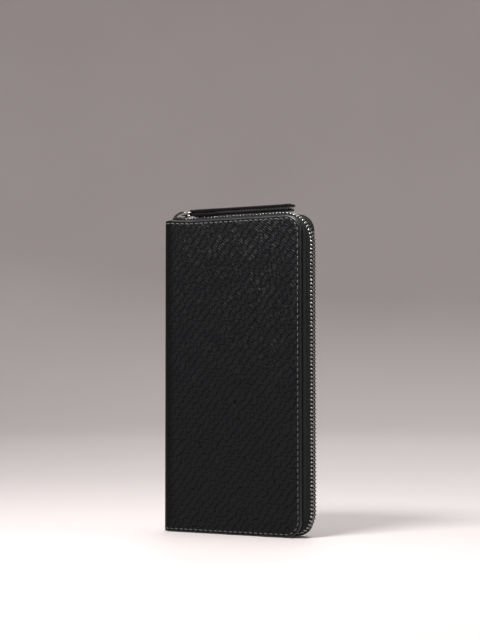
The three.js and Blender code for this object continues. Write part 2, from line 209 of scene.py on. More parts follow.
def flat_sheet(half, radius, insets, cuts_u, cuts_v, steps):
    """A flat rounded rectangle about the origin, as rings set in from its edge, cut along lines."""
    work = bmesh.new()
    rings = []
    for inset in insets:
        r = max(radius - inset, 0.25)
        ring = []
        for quarter, (su, sv) in enumerate(((1, 1), (-1, 1), (-1, -1), (1, -1))):
            for i in range(steps + 1):
                a = (quarter + i / steps) * math.pi / 2
                u = su * (half[0] - inset - r) + r * math.cos(a)
                v = sv * (half[1] - inset - r) + r * math.sin(a)
                ring.append(work.verts.new((u, v, 0)))
        rings.append(ring)
    count = len(rings[0])
    for a, b in zip(rings, rings[1:]):
        for k in range(count):
            work.faces.new((a[k], a[(k + 1) % count], b[(k + 1) % count], b[k]))
    work.faces.new(rings[-1])
    for cuts, normal in ((cuts_u, (1, 0, 0)), (cuts_v, (0, 1, 0))):
        for at in cuts:
            everything = work.verts[:] + work.edges[:] + work.faces[:]
            place = Vector(normal) * float(at)
            bmesh.ops.bisect_plane(work, geom=everything, plane_co=place, plane_no=normal, dist=1e-5)
    work.verts.index_update()
    flat = np.array([v.co[:2] for v in work.verts])
    faces = [tuple(v.index for v in f.verts) for f in work.faces]
    rim = np.array([v.is_boundary for v in work.verts])
    work.free()
    return flat, faces, rim


def two_sided(flat, faces, rim, outer, inner):
    """Closes a sheet from its outer and inner points, which meet at the rim. Returns points, faces, uv."""
    inner_index = np.arange(len(flat))
    inner_index[~rim] = len(flat) + np.arange((~rim).sum())
    points = np.vstack([outer, inner[~rim]])
    uv = np.vstack([flat, flat[~rim] + (0, 400)]) / 10
    back = [tuple(int(inner_index[i]) for i in reversed(f)) for f in faces]
    return points, faces + back, uv


def bumpy(flat, size, seed):
    """Smooth random heights from -1 to 1 over a flat sheet."""
    return np.array([noise.noise((u / size, v / size, seed)) for u, v in flat])


# ---------- materials ----------

class Shader:
    """Builds one material's nodes."""

    def __init__(self, name):
        self.material = bpy.data.materials.new(name)
        self.material.use_nodes = True
        self.tree = self.material.node_tree
        self.bsdf = self.tree.nodes["Principled BSDF"]

    def node(self, kind, inputs=None, **settings):
        n = self.tree.nodes.new("ShaderNode" + kind)
        for key, value in settings.items():
            setattr(n, key, value)
        for key, value in (inputs or {}).items():
            if isinstance(value, bpy.types.NodeSocket):
                self.tree.links.new(value, n.inputs[key])
            else:
                n.inputs[key].default_value = value
        return n

    def centimetres(self, by_uv):
        """The place on the surface in centimetres: from its UV layer, or from the piece's own space."""
        spot = self.node("TexCoord")
        if by_uv:
            return spot.outputs["UV"]
        scale = {0: spot.outputs["Object"], 1: (100, 100, 100)}
        return self.node("VectorMath", scale, operation="MULTIPLY").outputs[0]

    def turned(self, vector, angle, size):
        """The vector turned by an angle about Z, and then divided by a size."""
        mapping = self.node("Mapping", {"Vector": vector}, vector_type="TEXTURE")
        mapping.inputs["Rotation"].default_value = (0, 0, math.radians(angle))
        mapping.inputs["Scale"].default_value = size
        return mapping.outputs[0]

    def math(self, operation, a, b=None):
        values = {0: a} if b is None else {0: a, 1: b}
        return self.node("Math", values, operation=operation).outputs[0]

    def layered(self, base, fine, share):
        """A base height with a share of a finer one on it."""
        return self.node("Math", {0: fine, 1: share, 2: base}, operation="MULTIPLY_ADD").outputs[0]

    def spread(self, value, low, high, to_low=0.0, to_high=1.0, smooth=True):
        n = self.node("MapRange", {"Value": value, "From Min": low, "From Max": high,
                                   "To Min": to_low, "To Max": to_high})
        n.interpolation_type = "SMOOTHSTEP" if smooth else "LINEAR"
        return n.outputs[0]

    def mix(self, factor, a, b):
        n = self.node("Mix", data_type="RGBA")
        for socket, value in ((n.inputs[0], factor), (n.inputs[6], a), (n.inputs[7], b)):
            if isinstance(value, bpy.types.NodeSocket):
                self.tree.links.new(value, socket)
            else:
                socket.default_value = value
        return n.outputs[2]

    def noise(self, vector, scale, detail=3.0, rough=0.5):
        n = self.node("TexNoise", {"Vector": vector, "Scale": scale, "Detail": detail, "Roughness": rough})
        return n.outputs[0]

    def waxed(self, weight, height, depth):
        """A thin clear coat over the same relief, of a weight that varies over the surface."""
        self.tree.links.new(weight, self.bsdf.inputs["Coat Weight"])
        n = self.node("Bump", {"Height": height, "Strength": 1.0, "Distance": depth * MM})
        self.tree.links.new(n.outputs[0], self.bsdf.inputs["Coat Normal"])

    def finish(self, colour, rough, height=None, bump=1.0, depth=0.0, **constants):
        for key, value in (("Base Color", colour), ("Roughness", rough)):
            if isinstance(value, bpy.types.NodeSocket):
                self.tree.links.new(value, self.bsdf.inputs[key])
            else:
                self.bsdf.inputs[key].default_value = value
        if height is not None:
            n = self.node("Bump", {"Height": height, "Strength": bump, "Distance": depth * MM})
            self.tree.links.new(n.outputs[0], self.bsdf.inputs["Normal"])
        for key, value in constants.items():
            self.bsdf.inputs[key.replace("_", " ")].default_value = value
        return self.material


def rgb(r, g, b):
    return (r, g, b, 1.0)


def pebbled_leather(name, grain=(0.41, 0.14), depth=0.12, slant=40, wax=0.165, spine=None):
    """Black leather pressed with slanting pebbles in rows, matt between, with a little wax on top; its
    colour is darker in the grooves than on the pebble tops, as painted shade.

    spine is the half width, in centimetres of U, of a stretched and smoothed strip down the middle, whose
    colour is also darkened there as painted shade.
    """
    s = Shader(name)
    place = s.centimetres(True)
    drift = s.node("TexNoise", {"Vector": place, "Scale": 1.1, "Detail": 2.0})
    push = s.node("VectorMath", {0: drift.outputs["Color"], 1: (0.2, 0.2, 0.2)}, operation="MULTIPLY")
    bent = s.node("VectorMath", {0: place, 1: push.outputs[0]}, operation="ADD").outputs[0]
    slanted = s.turned(bent, slant, (grain[0], grain[1], 0.3))
    cells = {"Vector": slanted, "Scale": 1.0, "Randomness": 0.66}
    rim = s.node("TexVoronoi", cells, feature="DISTANCE_TO_EDGE")
    heart = s.node("TexVoronoi", {**cells, "Smoothness": 0.25}, feature="SMOOTH_F1")
    groove = s.spread(rim.outputs["Distance"], 0.0, 0.26)
    top = s.spread(rim.outputs["Distance"], 0.02, 0.17)
    away = s.math("MULTIPLY", heart.outputs["Distance"], heart.outputs["Distance"])
    dome = s.spread(away, 0.0, 0.5, 1.0, 0.35, smooth=False)
    fine = s.noise(place, 90, 3, 0.6)
    worn = s.noise(place, 0.8, 2)
    strength = s.spread(worn, 0.3, 0.7, 0.7, 1.0)
    if spine:
        across = s.math("ABSOLUTE", s.node("SeparateXYZ", {0: place}).outputs[0])
        flat = s.spread(across, spine - 0.45, spine + 0.25)
        strength = s.math("MULTIPLY", strength, s.spread(flat, 0, 1, 0.3, 1.0, smooth=False))
        wax = s.math("MULTIPLY", flat, wax)
        # Painted shade: near the spine the pebble-top mask is cut down, so the colour there goes darker.
        top = s.math("MULTIPLY", top, s.spread(flat, 0, 1, 0.2, 1.0, smooth=False))
    tall = s.math("MULTIPLY", s.math("MULTIPLY", groove, dome), strength)
    height = s.layered(tall, fine, 0.05)
    # Painted shade: the grooves get a darker colour than the pebble tops.
    colour = s.mix(top, rgb(0.0014, 0.0014, 0.0017), rgb(0.0054, 0.0055, 0.0063))
    rough = s.spread(top, 0, 1, 0.6, 0.36)
    s.waxed(s.math("MULTIPLY", top, wax), height, depth)
    return s.finish(colour, rough, height, 1.0, depth, Specular_IOR_Level=0.06, Coat_Roughness=0.31)


def smooth_leather(name, colour):
    """Fine lining leather with a soft, close grain."""
    s = Shader(name)
    place = s.centimetres(True)
    cells = s.node("TexVoronoi", {"Vector": place, "Scale": 16.0, "Randomness": 0.9},
                   feature="DISTANCE_TO_EDGE")
    grain = s.spread(cells.outputs["Distance"], 0.0, 0.3)
    fine = s.noise(place, 60, 2)
    patch = s.noise(place, 1.3, 2)
    height = s.layered(grain, fine, 0.3)
    dark = rgb(*(c * 0.72 for c in colour))
    light = rgb(*(c * 1.25 for c in colour))
    rough = s.spread(grain, 0, 1, 0.6, 0.46)
    return s.finish(s.mix(patch, dark, light), rough, height, 0.5, 0.06)


def painted_edge(name, shine=0.4):
    """The sealed, painted cut edge of leather."""
    s = Shader(name)
    place = s.centimetres(False)
    waves = s.noise(place, 14, 3)
    fine = s.noise(place, 120, 2)
    height = s.layered(waves, fine, 0.25)
    return s.finish(s.mix(waves, rgb(0.0016, 0.0016, 0.0018), rgb(0.0038, 0.0038, 0.0042)),
                    s.spread(waves, 0.3, 0.7, 0.26, 0.38), height, 0.35, 0.08, Specular_IOR_Level=shine)


def woven(name, dark, light, pitch, angle, rough=0.82):
    """Cloth or zip tape: a twill of fine slanting threads crossed by finer ones."""
    s = Shader(name)
    place = s.centimetres(True)
    slanted = {"Vector": s.turned(place, angle, (pitch, pitch, 1)), "Scale": 1 / math.pi,
               "Distortion": 0.4, "Detail": 1.0, "Detail Scale": 2.0}
    threads = s.node("TexWave", slanted, bands_direction="Y")
    across = s.node("TexWave", {"Vector": s.turned(place, 0, (pitch * 0.8, pitch * 0.8, 1)),
                                "Scale": 1 / math.pi, "Distortion": 0.4}, bands_direction="X")
    fuzz = s.noise(place, 45, 3)
    patch = s.noise(place, 1.5, 2)
    weave = s.math("MULTIPLY", threads.outputs["Fac"], s.spread(across.outputs["Fac"], 0, 1, 0.55, 1.0))
    height = s.layered(weave, fuzz, 0.25)
    shade = s.math("MULTIPLY", weave, s.spread(patch, 0.3, 0.7, 0.7, 1.0))
    colour = s.mix(shade, rgb(*dark), rgb(*light))
    return s.finish(colour, rough, height, 0.9, 0.12, Specular_IOR_Level=0.22)


def plated_metal(name, colour, rough):
    """Polished plating with fine rubbing marks and slightly cloudy patches."""
    s = Shader(name)
    place = s.centimetres(False)
    cloud = s.noise(place, 6, 3)
    rubbed = s.noise(s.turned(place, 12, (0.5, 0.012, 0.012)), 1, 2)
    tint = s.mix(cloud, rgb(*(c * 0.8 for c in colour)), rgb(*colour))
    return s.finish(tint, s.spread(cloud, 0.3, 0.7, *rough), rubbed, 0.12, 0.03, Metallic=1.0)


def thread(name):
    """Grey waxed thread of two twisted plies."""
    s = Shader(name)
    place = s.centimetres(True)
    twist = s.node("TexWave", {"Vector": s.turned(place, 35, (0.07, 0.07, 1)), "Scale": 1 / math.pi,
                               "Distortion": 0.3}, bands_direction="X")
    fuzz = s.noise(place, 80, 2)
    height = s.layered(twist.outputs["Fac"], fuzz, 0.2)
    colour = s.mix(twist.outputs["Fac"], rgb(0.045, 0.045, 0.048), rgb(0.115, 0.115, 0.12))
    return s.finish(colour, 0.6, height, 0.7, 0.08)


def nylon(name):
    s = Shader(name)
    cloud = s.noise(s.centimetres(False), 40, 2)
    return s.finish(s.mix(cloud, rgb(0.020, 0.022, 0.021), rgb(0.045, 0.047, 0.045)),
                    s.spread(cloud, 0.3, 0.7, 0.3, 0.45), cloud, 0.2, 0.03)


COVER = pebbled_leather("cover_leather", spine=1.4)
EDGE_PAINT = painted_edge("edge_paint")
STRAP_EDGE = painted_edge("strap_edge_paint", shine=0.14)
STRAP_LEATHER = pebbled_leather("strap_leather", grain=(0.2, 0.11), depth=0.07, wax=0.08)
INNER = smooth_leather("inner_leather", (0.034, 0.033, 0.033))
LINING = woven("lining_twill", (0.018, 0.0178, 0.0178), (0.06, 0.059, 0.058), pitch=0.05, angle=55)
TAPE = woven("zip_tape", (0.0018, 0.0034, 0.0028), (0.0098, 0.0142, 0.0122),
             pitch=0.06, angle=50, rough=0.8)
METAL = plated_metal("zip_metal", colour=(0.13, 0.128, 0.127), rough=(0.16, 0.3))
TEETH_METAL = plated_metal("teeth_metal", colour=(0.25, 0.243, 0.236), rough=(0.14, 0.26))
RING_METAL = plated_metal("ring_metal", colour=(0.52, 0.51, 0.5), rough=(0.12, 0.22))
THREAD = thread("stitch_thread")
NYLON = nylon("coil_nylon")


# ---------- the outer cover ----------

def round_spine(u):
    """Where flat distance u from the middle of the spine lies: X, Y and the outward direction."""
    angle = np.clip(u / HALF, -math.pi / 2, math.pi / 2)
    beyond = np.abs(u) - ARC
    x = np.where(beyond > 0, BEND + beyond, BEND - HALF * np.cos(angle))
    y = HALF * np.sin(angle)
    return x, y, -np.cos(angle), np.sin(angle)


COVER_HALF = (ARC + EDGE - BEND, HEIGHT / 2)


def on_cover(flat, rise):
    """Points of the cover at a rise above its outer face. Its head is drawn up a little at the spine."""
    x, y, nx, ny = round_spine(flat[:, 0])
    near_spine = smoothstep(ARC + 16, ARC - 3, np.abs(flat[:, 0]))
    head = HEAD_RISE * near_spine * smoothstep(60, HEIGHT / 2, flat[:, 1])
    return np.column_stack([x + nx * rise, y + ny * rise, flat[:, 1] + HEIGHT / 2 + head])


def cover():
    """One piece of leather over both boards and round the spine, its edges turned and sewn down."""
    insets = [0, 0.1, 0.25, 0.5, 0.8, 1.15, 1.45, 1.75, SEAM, 2.25, 2.55, 2.9, 3.5, 4.5, 7]
    spine_cuts = np.linspace(-ARC - 2, ARC + 2, 45)
    wide_cuts = np.concatenate([s * np.arange(ARC + 5, COVER_HALF[0] - 1, 4.5) for s in (-1, 1)])
    tall_cuts = np.arange(-COVER_HALF[1] + 5, COVER_HALF[1] - 1, 4.5)
    flat, faces, rim = flat_sheet(
        COVER_HALF, CORNER, insets, np.concatenate([spine_cuts, wide_cuts]), tall_cuts, steps=12
    )
    depth = depth_inside(flat, COVER_HALF, CORNER)
    from_spine = np.abs(flat[:, 0]) - ARC
    thick = SPINE_THICK + BOARD_ADDS * smoothstep(-1, 3, from_spine)
    turned = np.sqrt(np.clip(1 - (1 - np.clip(depth / 0.95, 0, 1)) ** 2, 0, 1))
    sunk = -0.17 * np.exp(-(((depth - SEAM) / 0.42) ** 2))
    crown = 0.10 * smoothstep(SEAM, 9, depth) * smoothstep(0, 10, from_spine)
    soft = 0.05 * bumpy(flat, 26, 3.0) * smoothstep(1, 6, depth)
    rise = sunk + crown - 0.1 + soft
    middle = -thick / 2
    outer = on_cover(flat, middle + (rise - middle) * turned)
    inner = on_cover(flat, middle + (-thick - middle) * turned)
    points, all_faces, uv = two_sided(flat, faces, rim, outer, inner)
    deep = np.concatenate([depth, depth[~rim]])
    painted = [int(max(deep[list(f)]) < 0.85) for f in all_faces]
    obj = make("outer_leather", points, all_faces, [COVER, EDGE_PAINT], uv, face_material=painted)
    stand_for(obj, "front_leather", "back_leather", "spine", "front_board", "back_board", ride=False)
    return obj


def stitch_mesh(length, thick=0.27, sink=0.32):
    """One stitch along X: a short bead of thread whose ends dive into the leather."""
    stations, uv = [], []
    for t in np.linspace(-1, 1, 9):
        fat = thick * (1 - 0.45 * abs(t) ** 4)
        rise = 0.10 - sink * abs(t) ** 3
        ring = []
        for a in circle(8):
            ring.append((t * length / 2, fat * math.cos(a), rise + fat * 0.85 * math.sin(a)))
            uv.append((t * length / 20, fat * a / 10))
        stations.append(ring)
    points, faces = loft(stations)
    return points, faces, np.array(uv)


def scatter(proto, spots):
    """Copies of a small mesh, at spots given as (place, along, across, up) in any space."""
    points, faces, uv = proto
    placed, all_faces, all_uv = [], [], []
    for i, (at, along, across, up) in enumerate(spots):
        placed.append(np.asarray(at) + points @ np.array([along, across, up], float))
        all_faces += [tuple(i * len(points) + k for k in f) for f in faces]
        all_uv.append(uv)
    return np.vstack(placed), all_faces, np.vstack(all_uv)


def around_rectangle(half, radius, pitch):
    """Evenly spaced places and directions on a closed rounded rectangle."""
    straight = [2 * (half[1] - radius), 2 * (half[0] - radius)] * 2
    arc = radius * math.pi / 2
    total = sum(straight) + 4 * arc
    count = round(total / pitch)
    spots = []
    for i in range(count):
        s = (i + 0.5) * total / count
        for side in range(4):
            angle = side * math.pi / 2  # the way out from this side
            start = np.array([(1, -1), (1, 1), (-1, 1), (-1, -1)][side]) * (np.array(half) - radius)
            out = np.array([math.cos(angle), math.sin(angle)])
            along = np.array([-out[1], out[0]])
            if s < straight[side]:
                spots.append((start + out * radius + along * s, along))
                break
            s -= straight[side]
            if s < arc:
                a = angle + s / radius
                out = np.array([math.cos(a), math.sin(a)])
                hub = start + along * straight[side]
                spots.append((hub + out * radius, np.array([-out[1], out[0]])))
                break
            s -= arc
    return spots


def cover_stitching():
    """A row of stitches all round the cover, just in from its edge, over the spine's ends too."""
    half = (COVER_HALF[0] - SEAM, COVER_HALF[1] - SEAM)
    proto = stitch_mesh(2.3)
    spots = []
    for at, along in around_rectangle(half, CORNER - SEAM, STITCH_PITCH):
        slant = math.radians(5)
        turn = np.array([[math.cos(slant), -math.sin(slant)], [math.sin(slant), math.cos(slant)]])
        along = turn @ along
        spots.append(((*at, 0), (*along, 0), (-along[1], along[0], 0), (0, 0, 1)))
    points, faces, uv = scatter(proto, spots)
    obj = make("cover_stitching", on_cover(points[:, :2], points[:, 2] - 0.1), faces, THREAD, uv)
    return obj


def bend_with_cover(obj):
    """Bakes the object's placement into its mesh."""
    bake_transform(obj)


# ---------- the zip round three sides ----------

def three_sides(line, start, arc_steps=20):
    """Stations along the top, round the corner, down and back: X, Z, outward X and Z, distance."""
    top, right, bottom = line["top"], line["right"], line["bottom"]
    upper, lower = line["top_radius"], line["radius"]
    rows = [(x, top, 0, 1) for x in np.linspace(start, right - upper, 16)[:-1]]
    for r, hub, first in ((upper, top - upper, 90), (lower, bottom + lower, 0)):
        for a in np.radians(np.linspace(first, first - 90, arc_steps + 1)):
            rows.append((right - r + r * math.cos(a), hub + r * math.sin(a), math.cos(a), math.sin(a)))
        if first == 90:
            rows += [(right, z, 1, 0) for z in np.linspace(top - upper, bottom + lower, 30)[1:-1]]
    rows += [(x, bottom, 0, -1) for x in np.linspace(right - lower, start, 16)[1:]]
    rows = np.array(rows)
    return rows, distances(rows[:, :2])


def chain_runs():
    """The chain's five runs: length, first way out in degrees, and the corner's radius and hub."""
    top, right, bottom = CHAIN["top"], CHAIN["right"], CHAIN["bottom"]
    upper, lower = CHAIN["top_radius"], CHAIN["radius"]
    quarter = math.pi / 2
    return [
        (right - upper - TEETH_START, 90, 0, None),
        (upper * quarter, 90, upper, top - upper),
        (top - bottom - upper - lower, 0, 0, None),
        (lower * quarter, 0, lower, bottom + lower),
        (right - lower - TEETH_START, -90, 0, None),
    ]


def zip_spot(s):
    """The place at a distance along the chain: X, Z, the way along and the way out."""
    top, right, bottom = CHAIN["top"], CHAIN["right"], CHAIN["bottom"]
    for length, first, radius, hub in chain_runs():
        if s <= length or first == -90:
            break
        s -= length
    if hub is not None:
        a = math.radians(first) - s / radius
        return (right - radius + radius * math.cos(a), hub + radius * math.sin(a),
                (math.sin(a), -math.cos(a)), (math.cos(a), math.sin(a)))
    if first == 90:
        return TEETH_START + s, top, (1, 0), (0, 1)
    if first == 0:
        return right, top - CHAIN["top_radius"] - s, (0, -1), (1, 0)
    return right - CHAIN["radius"] - s, bottom, (-1, 0), (0, -1)


def between(a, b, t):
    return {k: a[k] + (b[k] - a[k]) * t for k in a}


def grown(line, by):
    return {k: v - by if k == "bottom" else v + by for k, v in line.items()}


def zip_tape(word, side):
    """Half the tape: flat where it is sewn in, then rolled over towards the teeth, with its bead."""
    start = TAPE_LOW[0]
    y_sewn, y_ridge, y_teeth = TAPE_HIGH[1], 4.6, 2.45
    thick = 0.45
    inside = {"top": HEIGHT - 5, "right": EDGE - 5, "bottom": 7.5, "top_radius": 6.0, "radius": 6.0}
    lip = CORNER - 0.9
    mouth = {"top": HEIGHT - 0.9, "right": EDGE - 0.6, "bottom": 4.1, "top_radius": lip, "radius": lip}
    ridge = {"top": HEIGHT + 1.15, "right": EDGE + 2.2, "bottom": 2.9,
             "top_radius": CORNER, "radius": CORNER}
    if side < 0:  # round the top corner the front's tape is pulled tight, and the back's stands proud
        ridge.update(top=HEIGHT + 0.7, right=EDGE + 1.9, top_radius=15.5)
    lines = [(inside, y_sewn, (0, 1)), (between(inside, mouth, 0.5), y_sewn, (0, 1))]
    for a in np.radians(np.linspace(0, 90, 8)):  # out of the cover's mouth and up to the ridge
        y = y_ridge + (y_sewn - y_ridge) * math.cos(a)
        lines.append((between(mouth, ridge, math.sin(a)), y, (0.4 + 0.6 * math.sin(a), math.cos(a))))
    for t in np.linspace(0, 1, 8)[1:]:  # and level or down to the teeth
        y = y_ridge + (y_teeth - y_ridge) * t
        lines.append((between(ridge, CHAIN, t * t * (3 - 2 * t)), y, (1, 0)))
    outer = [(grown(line, 0.22 * out), y) for line, y, (out, _) in lines]
    inner = [(grown(line, (0.22 - thick) * out), y - thick * flat) for line, y, (out, flat) in lines]
    ring = outer + inner[::-1]
    columns, lengths = [], None
    for line, y in ring:
        rows, lengths = three_sides(line, start)
        columns.append(np.column_stack([rows[:, 0], np.full(len(rows), side * y), rows[:, 1]]))
    points, faces = loft(np.array(columns).transpose(1, 0, 2))
    across = np.concatenate([np.arange(len(lines)), np.arange(len(lines))[::-1]]) * 0.05
    uv = np.array([(s / 10, a) for s in lengths for a in across])
    rows, lengths = three_sides(CHAIN, start)
    bead = []
    r = BEAD["radius"]
    for x, z, ox, oz in rows:
        bead.append([(x + ox * r * c, side * (BEAD["y"] + r * d), z + oz * r * c)
                     for c, d in ((math.cos(a), math.sin(a)) for a in circle(8))])
    bead_uv = np.array([(s / 10, k * 0.05) for s in lengths for k in range(8)])
    points, faces = merged([(points, faces), loft(bead)])
    tape = make(f"zip_tape_{word}", points, faces, TAPE, np.vstack([uv, bead_uv]))
    stand_for(tape, f"{word}_zip_tape")


def tooth_mesh():
    """One tooth across Y: legs clamped on the bead, a neck, and a rounded head past the middle."""
    half_outline = [(2.95, 0.40), (2.75, 0.60), (1.25, 0.62), (0.95, 0.44), (0.7, 0.42),
                    (0.35, 0.50), (-0.2, 0.50), (-0.45, 0.34)]
    outline = half_outline + [(y, -w) for y, w in reversed(half_outline)]
    stations = []
    for level, inset in ((-1.0, 0.22), (-0.8, 0.04), (-0.4, 0), (0.4, 0), (0.8, 0.04), (1.0, 0.22)):
        ring = []
        for y, w in outline:
            thin = 1.0 if y > 0.96 else 0.8
            y_in = y - inset * (1 if y > 1.5 else -1 if y < 0 else 0)
            w_in = math.copysign(max(abs(w) - inset, 0.1), w)
            ring.append((w_in, y_in, level * thin))
        stations.append(ring)
    points, faces = loft(stations)
    return points, faces, np.zeros((len(points), 2))


def zip_teeth(word, side):
    phase = 0.85 + (TOOTH_PITCH / 2 if side < 0 else 0)
    spots = []
    length = sum(run[0] for run in chain_runs())
    for i in range(int((length - phase - 0.5) / TOOTH_PITCH) + 1):
        x, z, along, out = zip_spot(phase + i * TOOTH_PITCH)
        spots.append(((x, 0, z), (along[0], 0, along[1]), (0, side, 0), (out[0], 0, out[1])))
    points, faces, _ = scatter(tooth_mesh(), spots)
    stand_for(make(f"zip_teeth_{word}", points, faces, TEETH_METAL), f"{word}_zip_teeth")


def clamp(node):
    """A zip stop: a small staple of metal pressed over the bead, in its CAD place."""
    low, high = span(node)
    outline = [(low[1], low[2]), (high[1], low[2]), (high[1], high[2]), (low[1], high[2])]
    points, faces = prism(outline, low[0], high[0], (1, 2, 0))
    obj = make(node.replace("_stop", "_clamp"), points, faces, METAL)
    rounded_edges(obj, 0.28)
    stand_for(obj, node)


# ---------- slider, ring and strap ----------

def arch(path, wide, thick):
    """A flat bar bent along a path in X-Z, centred on Y = 0."""
    path = np.array(path, float)
    below = [(-1, -0.55), (-0.8, -1), (0.8, -1), (1, -0.55)]
    section = below + [(-w, -v) for w, v in below]
    stations = []
    for (x, z), n in zip(path, normals(path)):
        stations.append([(x + n[0] * v * thick / 2, w * wide / 2, z + n[1] * v * thick / 2)
                         for w, v in section])
    return loft(stations)


def smooth_path(knots, count):
    """A smooth curve through knots, by Catmull-Rom, as count points evenly spread."""
    k = np.array([knots[0], *knots, knots[-1]], float)
    fine = []
    for i in range(len(knots) - 1):
        a, b, c, d = k[i:i + 4]
        for t in np.linspace(0, 1, 24, endpoint=False):
            fine.append(0.5 * (2 * b + (c - a) * t + (2 * a - 5 * b + 4 * c - d) * t**2
                               + (3 * b - a - 3 * c + d) * t**3))
    fine = np.array([*fine, k[-1]])
    s = distances(fine)
    at = np.linspace(0, s[-1], count)
    return np.column_stack([np.interp(at, s, fine[:, i]) for i in range(fine.shape[1])])


def half_shell(x0, x1, wide, base, rise, wall, flare=0.0):
    """One wing of a slider along X: a plate crowned across and curled down to its two lips.

    base is the height of its lips' edges, and rise is the crown's height over them, down if negative.
    flare is how much its mouth opens at x1.
    """
    stations = []
    for t in (0, 0.04, 0.12, 0.25, 0.4, 0.6, 0.8, 0.93, 1):
        full = 1 - 0.42 * (1 - t) ** 3 - 0.16 * max(0, t - 0.8) / 0.2
        lower = 1 - 0.25 * max(0, 0.08 - min(t, 1 - t)) / 0.08
        mouth = flare * max(0, t - 0.6) / 0.4
        outside = (wide * full, abs(rise) * lower + mouth)
        inside = (wide * full - wall, abs(rise) - wall + mouth)
        ring = []
        for w, h in (outside, inside):
            h = math.copysign(h, rise)
            arc = []
            for a in np.linspace(0, math.pi, 15):
                across = math.copysign(abs(math.cos(a)) ** 0.45, math.cos(a))
                arc.append((w * across, base + h * math.sin(a) ** 0.5))
            ring += arc if not ring else arc[::-1]
        stations.append([(x0 + (x1 - x0) * t, y, z) for y, z in ring])
    return loft(stations)


def zip_slider():
    """The cast slider: two wings curled over the teeth, and the loop that holds the ring."""
    low, high = span("zip_slider")
    x0, x1, w = low[0], high[0], high[1]
    middle, channel, wall = CHAIN["top"], 1.3, 0.8
    roof = middle + channel + wall
    upper = half_shell(x0, x1, w, middle + 0.6, roof - middle - 0.6, wall)
    lower = half_shell(x0, x1, w, middle - 0.95, 0.95 - channel - wall, wall, flare=0.36)
    obj = make("slider_casting", *merged([upper, lower]), METAL)
    rounded_edges(obj, 0.14)
    stand_for(obj, "zip_slider")
    knots = [(x0 + 0.7, roof - 0.4), (x0 + 0.95, roof + 0.45), (x0 + 2.9, roof + 1.8),
             (x0 + 5.2, roof + 2.75), (x0 + 7.2, roof + 3.0), (x1 - 0.95, roof + 2.3),
             (x1 - 0.5, roof + 1.0), (x1 - 0.45, roof - 0.4)]
    loop = make("slider_loop", *arch(smooth_path(knots, 34), 2.3, 0.95), METAL)
    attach(loop, "zip_slider")


def pull_ring():
    """A ring of round wire, bent to a rounded rectangle, in the slope the CAD ring has."""
    a, b = pin_of("link_hinge"), pin_of("strap_hinge")
    wire = 0.54
    half_long = np.linalg.norm(b - a) / 2
    half_wide = span("pull_link")[1][1] - wire
    along = (b - a) / np.linalg.norm(b - a)
    centres = []
    for (p, q), _ in around_rectangle((half_long, half_wide), 1.15, 0.32):
        x, z = (a + b) / 2 + along * p
        centres.append((x, q, z))
    centres = np.array(centres)
    up = np.array([-along[1], 0, along[0]])
    rings = []
    for at, way in zip(centres, np.roll(centres, -1, axis=0) - np.roll(centres, 1, axis=0)):
        side = np.cross(way / np.linalg.norm(way), up)
        rings.append([at + wire * (math.cos(k) * side + math.sin(k) * up)
                      for k in circle(12)])
    stand_for(make("pull_ring", *loft(rings, loop=True), RING_METAL), "pull_link")


